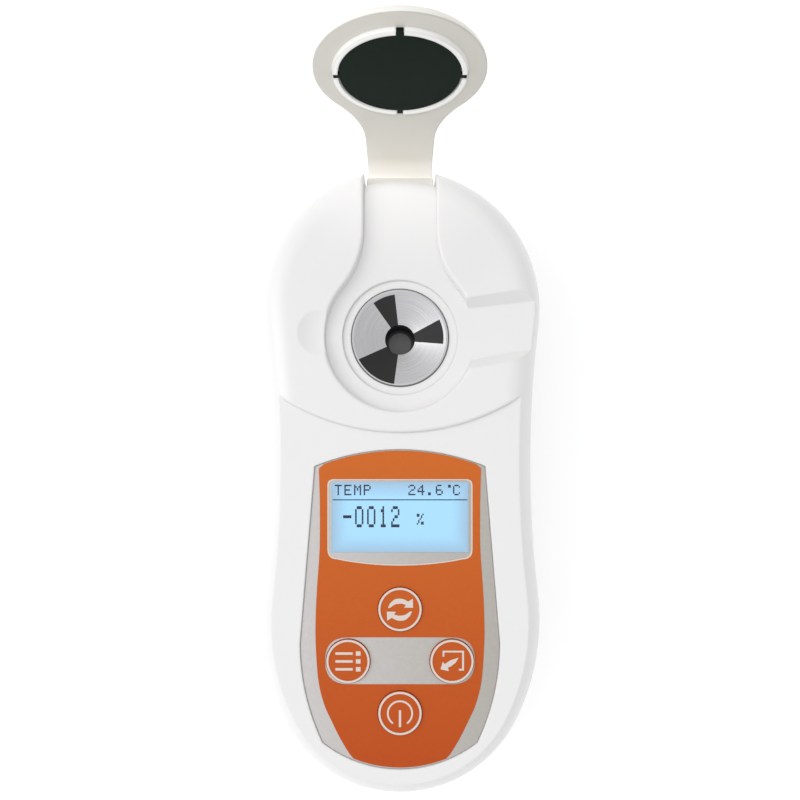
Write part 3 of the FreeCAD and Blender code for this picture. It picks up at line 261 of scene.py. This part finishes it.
def prism_material():
    """Dark glass, darker beyond the window radius."""
    g = Graph("prism_face")
    x, y = g.parts()[:2]
    radius = g.distance(x, g.math("SUBTRACT", y, DISH_Y * MM))
    edge = g.math("GREATER_THAN", radius, WINDOW_RADIUS * MM)
    cloud = g.mix(g.noise(120.0, 4.0), lin(106, 105, 104), lin(118, 117, 116))
    g.put(g.shader, "Base Color", g.mix(edge, cloud, lin(40, 39, 39)))
    g.put(g.shader, "Roughness", 0.3)
    return g.material


# The lit part of the display: half its width, and the y of its upper and lower edge.
LIT = (13.05, -0.24, -13.66)


def display_material():
    """The lit face: pale blue, with painted shadow darkening it towards its edges."""
    g = Graph("display_lit")
    x, y = g.parts()[:2]
    wide, top, low = (v * MM for v in LIT)
    from_side = g.math("SUBTRACT", wide, g.math("ABSOLUTE", x))
    centre, half = (top + low) / 2, (top - low) / 2
    from_end = g.math("SUBTRACT", half, g.math("ABSOLUTE", g.math("SUBTRACT", y, centre)))
    inside = g.math("SMOOTH_MIN", from_side, from_end, 1.5 * MM)
    # Painted shadow: the face darkens within 3.2 mm of its edges.
    out_of_shadow = g.clamp(g.math("MULTIPLY", inside, 1 / (3.2 * MM)))
    out_of_shadow = g.math("MULTIPLY_ADD", g.noise(300.0, 2.0), 0.06, out_of_shadow)
    colour = g.mix(out_of_shadow, lin(158, 192, 218), lin(170, 224, 255))
    g.put(g.shader, "Base Color", lin(30, 40, 48))
    g.put(g.shader, "Roughness", 0.3)
    g.put(g.shader, "Emission Color", colour)
    g.put(g.shader, "Emission Strength", 1.0)
    return g.material


def window_material():
    """Clear film: mostly see-through, with a faint gloss."""
    g = Graph("window_clear")
    clear = g.add("ShaderNodeBsdfTransparent", Color=(0.97, 0.985, 1.0, 1.0))
    gloss = g.add("ShaderNodeBsdfGlossy", Roughness=0.08)
    weight = g.math("MULTIPLY_ADD", g.noise(200.0), 0.01, 0.02)
    blend = g.add("ShaderNodeMixShader")
    g.put(blend, "0", weight)
    g.link(clear.outputs[0], blend.inputs[1])
    g.link(gloss.outputs[0], blend.inputs[2])
    g.link(blend.outputs[0], g.out.inputs["Surface"])
    return g.material


def glass_material():
    """Clear glass for the lens."""
    g = Graph("lens_glass")
    g.put(g.shader, "Base Color", g.mix(g.noise(200.0), lin(225, 232, 235), (1, 1, 1, 1)))
    g.put(g.shader, "Transmission Weight", 0.9)
    g.put(g.shader, "Roughness", 0.03)
    g.put(g.shader, "IOR", 1.52)
    return g.material


# The printed colour runs from the first of these at y = 6 to the second 60 mm further down.
ORANGE = (lin(214, 108, 34), lin(194, 78, 10))
FALL_FROM, FALL_OVER = 6, 60


def print_material(name):
    """Orange printed film: the colour deepens from the top of the panel to its lower end."""
    g = Graph(name)
    y = g.parts()[1]
    fall = g.math("MULTIPLY_ADD", y, -1 / (FALL_OVER * MM), FALL_FROM / FALL_OVER)
    tint = g.mix(g.clamp(fall), *ORANGE)
    speck = g.noise(1400.0, 2.0)
    dark = g.mix(0.08, tint, BLACK)
    g.put(g.shader, "Base Color", g.mix(speck, dark, tint))
    g.put(g.shader, "Roughness", g.math("MULTIPLY_ADD", speck, 0.1, 0.42 - 0.05))
    g.put(g.shader, "Specular IOR Level", 0.25)
    g.bump(speck, 0.01 * MM, strength=0.4, edge=0.05)
    return g.material


def silver_material():
    """Silver film, with painted light: brighter at its left side, where the light comes from."""
    g = Graph("film_silver")
    x = g.parts()[0]
    # Painted light: the film is lighter towards its left side.
    painted_light_across = g.clamp(g.math("MULTIPLY_ADD", x, 1 / (38 * MM), 0.5))
    speck = g.noise(1600.0, 2.0)
    tint = g.mix(painted_light_across, lin(212, 208, 206), lin(186, 181, 173))
    g.put(g.shader, "Base Color", g.mix(g.math("MULTIPLY", speck, 0.12), tint, BLACK))
    g.put(g.shader, "Metallic", 0.2)
    g.put(g.shader, "Roughness", g.math("MULTIPLY_ADD", speck, 0.12, 0.36))
    g.bump(speck, 0.006 * MM, edge=0.05)
    return g.material


mats = {
    "shell": shell_material("shell_white", lin(241, 240, 239)),
    # The cover's colour is a darker, warmer copy of the shell's white: painted shade.
    "flap": shell_material("flap_white", lin(238, 235, 229), paint=cover_tint),
    "pad": plain("pad_black", lin(12, 28, 20), 0.5, vary=0.3, edge=0.1,
                 Specular_IOR_Level=0.08),
    "steel": steel("ground_steel", lin(190, 190, 190), 0.3),
    "screw": steel("screw_zinc", lin(150, 150, 148), 0.35),
    "contact": steel("contact_nickel", lin(196, 194, 186), 0.3),
    "dish": dish_material(),
    "seal": plain("seal_rubber", lin(34, 34, 34), 0.7, vary=0.2),
    "housing": plain("housing_black", lin(24, 24, 24), 0.6, vary=0.15),
    "prism": prism_material(),
    "lamp": plain("lamp_amber", lin(240, 200, 90), 0.2, vary=0.1),
    "lens": glass_material(),
    "board": plain("board_green", lin(20, 92, 52), 0.4, vary=0.25),
    "chip": plain("chip_black", lin(28, 28, 30), 0.5, vary=0.2),
    "silver": silver_material(),
    "orange": print_material("film_orange"),
    "key": print_material("key_orange"),
    "mark": plain("mark_pale", lin(226, 214, 206), 0.35, metal=0.15, vary=0.05, edge=0.04),
    "window": window_material(),
    "display": display_material(),
    "ink": plain("display_ink", lin(6, 20, 56), 0.6, vary=0.15, edge=0.0,
                 Specular_IOR_Level=0.1),
    "diffuser": plain("diffuser", lin(226, 232, 238), 0.5, vary=0.04),
    "ribbon": plain("ribbon_amber", lin(176, 120, 40), 0.35, vary=0.15),
    "cell": plain("cell_jacket", lin(120, 126, 134), 0.35, vary=0.15),
}
NODE_MATERIAL = {
    "bottom_case": "shell", "top_case": "shell", "battery_door": "shell", "flap": "flap",
    "flap_pad": "pad", "hinge_pin": "steel", "sample_dish": "dish", "dish_gasket": "seal",
    "optics_housing": "housing", "prism": "prism", "led_lamp": "lamp",
    "focusing_lens": "lens", "sensor_board": "board", "light_sensor": "chip",
    "thermistor": "steel", "panel_overlay": "silver", "display_window": "window",
    "display_backlight": "diffuser", "display_glass": "display", "display_ribbon": "ribbon",
    "key_cycle": "key", "key_menu": "key", "key_enter": "key", "key_power": "key",
    "main_board": "board", "tact_switches": "chip", "processor": "chip",
    "battery_cell": "cell", "battery_contacts": "contact", "case_screws": "screw",
    "board_screws": "screw", "optics_screws": "screw",
}
for name, key in NODE_MATERIAL.items():
    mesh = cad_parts[name].data
    mesh.materials.clear()
    mesh.materials.append(mats[key])

# ------------------------------------------------------------------ flat shapes


def arc_points(x, y, r, start, end, count):
    """Points on an arc of radius r about (x, y), from one angle to another, in degrees."""
    step = (end - start) / count
    return [
        (x + r * math.cos(math.radians(start + step * k)),
         y + r * math.sin(math.radians(start + step * k)))
        for k in range(count + 1)
    ]


def circle_points(x, y, r):
    return arc_points(x, y, r, 0, 360, 64)[:-1]


def through(points, count=10):
    """A smooth line through the points, which keeps its two ends."""
    line = []
    full = [points[0], *points, points[-1]]
    for p0, p1, p2, p3 in zip(full, full[1:], full[2:], full[3:]):
        for k in range(count):
            t = k / count
            line.append(tuple(
                0.5 * (2 * b + (c - a) * t + (2 * a - 5 * b + 4 * c - d) * t * t
                       + (3 * b - a - 3 * c + d) * t ** 3)
                for a, b, c, d in zip(p0, p1, p2, p3)
            ))
    return [*line, points[-1]]


def round_corners(points, radii, count=6):
    """The loop with each corner rounded by its own radius."""
    loop = []
    total = len(points)
    for k, (corner, radius) in enumerate(zip(points, radii)):
        here = Vector(corner)
        before, after = Vector(points[k - 1]), Vector(points[(k + 1) % total])
        a, b = (before - here).normalized(), (after - here).normalized()
        reach = radius / math.tan(a.angle(b) / 2)
        start, end = here + a * reach, here + b * reach
        for step in range(count + 1):
            t = step / count
            spot = start * (1 - t) ** 2 + here * 2 * t * (1 - t) + end * t * t
            loop.append((spot.x, spot.y))
    return loop


def flat(name, loops, low, high, material, body):
    """A flat piece between two levels. Loops inside others are holes."""
    curve = bpy.data.curves.new(name, "CURVE")
    curve.dimensions = "2D"
    curve.fill_mode = "BOTH"
    curve.extrude = (high - low) / 2 * MM
    for loop in loops:
        spline = curve.splines.new("POLY")
        spline.points.add(len(loop) - 1)
        for point, (x, y) in zip(spline.points, loop):
            point.co = (x * MM, y * MM, 0, 1)
        spline.use_cyclic_u = True
    shape = bpy.data.objects.new(name + "_curve", curve)
    bpy.context.scene.collection.objects.link(shape)
    bpy.context.view_layer.update()
    mesh = bpy.data.meshes.new_from_object(
        shape.evaluated_get(bpy.context.evaluated_depsgraph_get())
    )
    bpy.data.objects.remove(shape)
    mesh.name = name
    for vertex in mesh.vertices:
        vertex.co.z += (high + low) / 2 * MM
    add_mesh(name, mesh, material, body)


def add_mesh(name, mesh, material, body):
    """Put a mesh in the scene as a piece that moves with a body."""
    mesh.materials.clear()
    mesh.materials.append(mats[material])
    piece = bpy.data.objects.new(name, mesh)
    bpy.context.scene.collection.objects.link(piece)
    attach(piece, body)


def mirrored(points):
    return [(-x, y) for x, y in reversed(points)]


# ------------------------------------------------------------------ printed overlay

# Heights: the face of the overlay's film, and how far prints and lines stand on it.
FILM = 24.0
PRINT = 0.03
LINE = 0.08
# The y of the orange field's upper and lower tip, and the radii of its two end arcs.
TOP_TIP, TOP_ARC = 5.75, 42.85
LOW_TIP, LOW_ARC = -54.75, 23.85

half_print = [(15.5, 2.35), (15.35, -2.5), (15.3, -6.0), (15.35, -13.0), (15.85, -20.5),
              (16.1, -26.0), (16.1, -31.0), (15.6, -38.0), (14.5, -42.6), (13.0, -46.0),
              (11.3, -49.4), (9.6, -52.2)]
side = through(half_print)
reach = math.degrees(math.asin(half_print[0][0] / TOP_ARC))
top_edge = arc_points(0, TOP_TIP - TOP_ARC, TOP_ARC, 90 - reach, 90 + reach, 30)
spread = math.degrees(math.asin(half_print[-1][0] / LOW_ARC))
low_edge = arc_points(0, LOW_TIP + LOW_ARC, LOW_ARC, 270 - spread, 270 + spread, 24)
outline = [*top_edge[1:-1], *mirrored(side)[::-1], *low_edge[1:-1], *side[::-1]]

# The silver surround of the display, whose lower edge sags in an arc: the arc's lowest y, its
# radius, half its angle, and the half width that is kept of it.
SAG_TIP, SAG_ARC, SAG_SPREAD, SAG_HALF = -16.2, 62.0, 11.2, 11.4
# A y between the surround's upper and lower corners.
BEZEL_MID = -7
smile = arc_points(0, SAG_TIP + SAG_ARC, SAG_ARC, 270 - SAG_SPREAD, 270 + SAG_SPREAD, 20)
bezel = round_corners(
    [(-13.85, 0.3), (-13.85, -15.0), (13.85, -15.0), (13.85, 0.3)], [1.2, 1.9, 1.9, 1.2]
)
left, right = [p for p in bezel if p[0] < 0], [p for p in bezel if p[0] > 0]
bezel = [*[p for p in left if p[1] > BEZEL_MID], *[p for p in left if p[1] < BEZEL_MID],
         *[p for p in smile if abs(p[0]) < SAG_HALF],
         *[p for p in right if p[1] < BEZEL_MID], *[p for p in right if p[1] > BEZEL_MID]]

KEYS = {"cycle": (0.0, -24.5), "menu": (-9.9, -34.4), "enter": (9.9, -34.4),
        "power": (0.0, -44.3)}
HOLE = 4.3
# The silver field with round ends that holds the middle two keys.
pill = round_corners(
    [(-14.3, -29.9), (-14.3, -38.85), (14.3, -38.85), (14.3, -29.9)], [4.4] * 4, 12
)
cycle_hole = circle_points(*KEYS["cycle"], HOLE)
power_hole = circle_points(*KEYS["power"], HOLE)
flat("print_orange", [outline, bezel, pill, cycle_hole, power_hole], FILM, FILM + PRINT,
     "orange", "case")


def shrink(loop, amount, centre):
    """The loop made smaller about a centre, so that its furthest points move in by an amount."""
    cx, cy = centre
    big = max(abs(x - cx) for x, _ in loop)
    tall = max(abs(y - cy) for _, y in loop)
    return [(cx + (x - cx) * (1 - amount / big), cy + (y - cy) * (1 - amount / tall))
            for x, y in loop]


inner = shrink(bezel, 0.24, (0, -7.8))
flat("bezel_line", [bezel, inner], FILM, FILM + LINE, "mark", "case")
frame_out = [(-13.2, 0.0), (-13.2, -13.7), (13.2, -13.7), (13.2, 0.0)]
frame_in = [(-LIT[0], LIT[1]), (-LIT[0], LIT[2]), (LIT[0], LIT[2]), (LIT[0], LIT[1])]
flat("display_frame", [frame_out, frame_in], FILM, FILM + PRINT, "silver", "case")

# ------------------------------------------------------------------ display marks

# Height of the display's face, how far its marks stand on it, and each dot's share of its cell.
FACE = 23.62
INK = 0.02
DOT_FILL = 0.98
FONT = {
    "T": "11111 00100 00100 00100 00100 00100 00100",
    "E": "11111 10000 10000 11110 10000 10000 11111",
    "M": "10001 11011 10101 10101 10001 10001 10001",
    "P": "11110 10001 10001 11110 10000 10000 10000",
    "C": "01110 10001 10000 10000 10000 10001 01110",
    "0": "01110 10001 10001 10001 10001 10001 01110",
    "1": "00100 01100 00100 00100 00100 00100 01110",
    "2": "01110 10001 00001 00110 01000 10000 11111",
    "4": "00010 00110 01010 10010 11111 00010 00010",
    "6": "01110 10000 10000 11110 10001 10001 01110",
    ".": "00000 00000 00000 00000 00000 01100 01100",
    "-": "00000 00000 00000 11111 00000 00000 00000",
    "%": "11001 11010 00010 00100 01000 01011 10011",
    "o": "11000 11000 00000 00000 00000 00000 00000",
}


def dots(name, rows):
    """Text in square dots. Each row is (text, x, y, dot width, dot height, advance)."""
    mesh = bmesh.new()
    for text, x, y, wide, high, advance in rows:
        for k, letter in enumerate(text):
            for row, bits in enumerate(FONT[letter].split()):
                for column, bit in enumerate(bits):
                    if bit == "0":
                        continue
                    x0 = x + k * advance + column * wide
                    y0 = y - (row + 1) * high
                    x1, y1 = x0 + wide * DOT_FILL, y0 + high * DOT_FILL
                    box = [(x0, y0), (x1, y0), (x1, y1), (x0, y1)]
                    low = [mesh.verts.new((a * MM, b * MM, FACE * MM)) for a, b in box]
                    up = [mesh.verts.new((a * MM, b * MM, (FACE + INK) * MM)) for a, b in box]
                    mesh.faces.new(up)
                    mesh.faces.new(low[::-1])
                    for i in range(4):
                        j = (i + 1) % 4
                        mesh.faces.new((low[i], low[j], up[j], up[i]))
    data = bpy.data.meshes.new(name)
    mesh.to_mesh(data)
    mesh.free()
    add_mesh(name, data, "ink", "case")


dots(
    "display_figures",
    [
        ("TEMP", -12.5, -0.75, 0.27, 0.29, 1.85),
        ("24.6", 1.6, -0.75, 0.27, 0.29, 1.75),
        ("oC", 9.2, -0.75, 0.27, 0.29, 0.95),
        ("-0012", -10.9, -4.85, 0.32, 0.58, 2.3),
        ("%", 3.2, -6.3, 0.27, 0.3, 1.8),
    ],
)
flat("display_rule", [[(-12.9, -3.55), (-12.9, -3.75), (12.9, -3.75), (12.9, -3.55)]],
     FACE, FACE + INK, "ink", "case")

# ------------------------------------------------------------------ keys and their symbols

# Height of the key tops, and how far their rings and symbols stand on them.
CAP = 24.35
RING = 0.12
SYMBOL = 0.05
RING_OUTER, RING_INNER = 4.12, 3.72


def moved(loop, x, y):
    return [(x + a, y + b) for a, b in loop]


def band(r0, r1, start, end):
    """Part of a ring between two radii and two angles."""
    return [*arc_points(0, 0, r1, start, end, 28), *arc_points(0, 0, r0, end, start, 28)]


def bar(x0, x1, y0, y1):
    return [(x0, y0), (x1, y0), (x1, y1), (x0, y1)]


swoop = [
    (-2.3, 0.25), *through([(-1.95, 1.1), (-0.9, 1.95), (0.5, 2.0), (1.55, 1.5)], 6),
    (2.45, 2.05), (2.5, 0.3), (0.75, 0.35), (1.15, 0.85),
    *through([(0.3, 1.1), (-0.9, 0.95), (-1.9, 0.3)], 6),
]
SYMBOLS = {
    "cycle": [swoop, [(-x, -y - 0.1) for x, y in swoop]],
    "menu": [
        shape
        for y in (1.5, 0.0, -1.5)
        for shape in (bar(-2.4, 0.9, y - 0.24, y + 0.24), bar(1.5, 2.4, y - 0.42, y + 0.42))
    ],
    "enter": [
        [(-1.8, 0.9), (-1.8, 2.05), (2.3, 2.05), (2.3, -1.75), (1.3, -1.75), (1.3, -1.4),
         (1.92, -1.4), (1.92, 1.7), (-1.45, 1.7), (-1.45, 0.9)],
        [(-2.2, -1.5), (-1.75, -0.05), (-1.35, -0.5), (-0.35, 0.2), (1.3, 0.75), (0.7, -0.25),
         (-0.2, -0.95), (-0.75, -1.15), (-0.6, -1.85)],
    ],
    "power": [band(2.15, 2.5, -55, 235), bar(-0.22, 0.22, -2.6, 0.6)],
}
for name, (x, y) in KEYS.items():
    body = f"key_{name}"
    ring = [circle_points(x, y, RING_OUTER), circle_points(x, y, RING_INNER)]
    flat(f"{body}_ring", ring, CAP, CAP + RING, "mark", body)
    for k, loop in enumerate(SYMBOLS[name]):
        flat(f"{body}_symbol_{k}", [moved(loop, x, y)], CAP, CAP + SYMBOL, "mark", body)

# ------------------------------------------------------------------ floor, light and camera

# Positions in this section are in metres.
FLOOR_HALF, FLOOR_Z = 2, -0.0004
floor = bpy.data.meshes.new("floor")
corners = [(-1, -1), (1, -1), (1, 1), (-1, 1)]
floor.from_pydata(
    [(x * FLOOR_HALF, y * FLOOR_HALF, FLOOR_Z) for x, y in corners], [], [(0, 1, 2, 3)]
)
g = Graph("floor_white")
g.put(g.shader, "Base Color", g.mix(g.noise(3.0), (0.9, 0.9, 0.9, 1), (0.98, 0.98, 0.98, 1)))
g.put(g.shader, "Roughness", 0.9)
g.put(g.shader, "Emission Color", (1, 1, 1, 1))
g.put(g.shader, "Emission Strength", 0.22)
floor.materials.append(g.material)
floor_piece = bpy.data.objects.new("floor", floor)
bpy.context.scene.collection.objects.link(floor_piece)

# The surrounding light is strongest from this direction, which is not of unit length.
LIGHT_FROM = (-0.42, 0.12, 0.9)
world = bpy.data.worlds.new("studio")
world.use_nodes = True
tree = world.node_tree
background = tree.nodes["Background"]
direction = tree.nodes.new("ShaderNodeTexCoord")
toward = tree.nodes.new("ShaderNodeVectorMath")
toward.operation = "DOT_PRODUCT"
toward.inputs[1].default_value = LIGHT_FROM
tree.links.new(direction.outputs["Generated"], toward.inputs[0])
ramp = tree.nodes.new("ShaderNodeMapRange")
for key, value in (("From Min", -0.6), ("From Max", 1.0), ("To Min", 0.32), ("To Max", 1.08)):
    ramp.inputs[key].default_value = value
tree.links.new(toward.outputs["Value"], ramp.inputs["Value"])
tree.links.new(ramp.outputs["Result"], background.inputs["Strength"])
background.inputs["Color"].default_value = (0.985, 0.99, 1.0, 1)
bpy.context.scene.world = world


def aimed(light, place, target):
    """Put a light in the scene at a place, facing a target."""
    lamp = bpy.data.objects.new(light.name, light)
    lamp.location = place
    aim = Vector(target) - lamp.location
    lamp.rotation_euler = aim.to_track_quat("-Z", "Y").to_euler()
    bpy.context.scene.collection.objects.link(lamp)


key_light = bpy.data.lights.new("key_light", "AREA")
key_light.shape = "RECTANGLE"
key_light.size, key_light.size_y = 0.4, 0.5
key_light.energy = 1.1
aimed(key_light, (-0.6, 0.1, 0.5), (0, 0, 0.02))

# A narrow cone on the bend at the foot of the open cover.
bend_light = bpy.data.lights.new("bend_light", "SPOT")
bend_light.energy = 1.8
bend_light.spot_size = math.radians(6.5)
bend_light.spot_blend = 1.0
bend_light.shadow_soft_size = 0.01
aimed(bend_light, (-0.05, -0.05, 0.35), (0, 0.066, 0.02))

# The camera looks straight down from close by, so the standing cover looks larger.
camera = bpy.data.cameras.new("camera")
camera.lens = 30.87
camera.sensor_width = 36
camera.shift_y = 0.1075
camera.clip_start = 0.005
viewer = bpy.data.objects.new("camera", camera)
viewer.location = (0, -1.0 * MM, 155 * MM)
bpy.context.scene.collection.objects.link(viewer)
bpy.context.scene.camera = viewer
bpy.context.scene.view_settings.view_transform = "Standard"
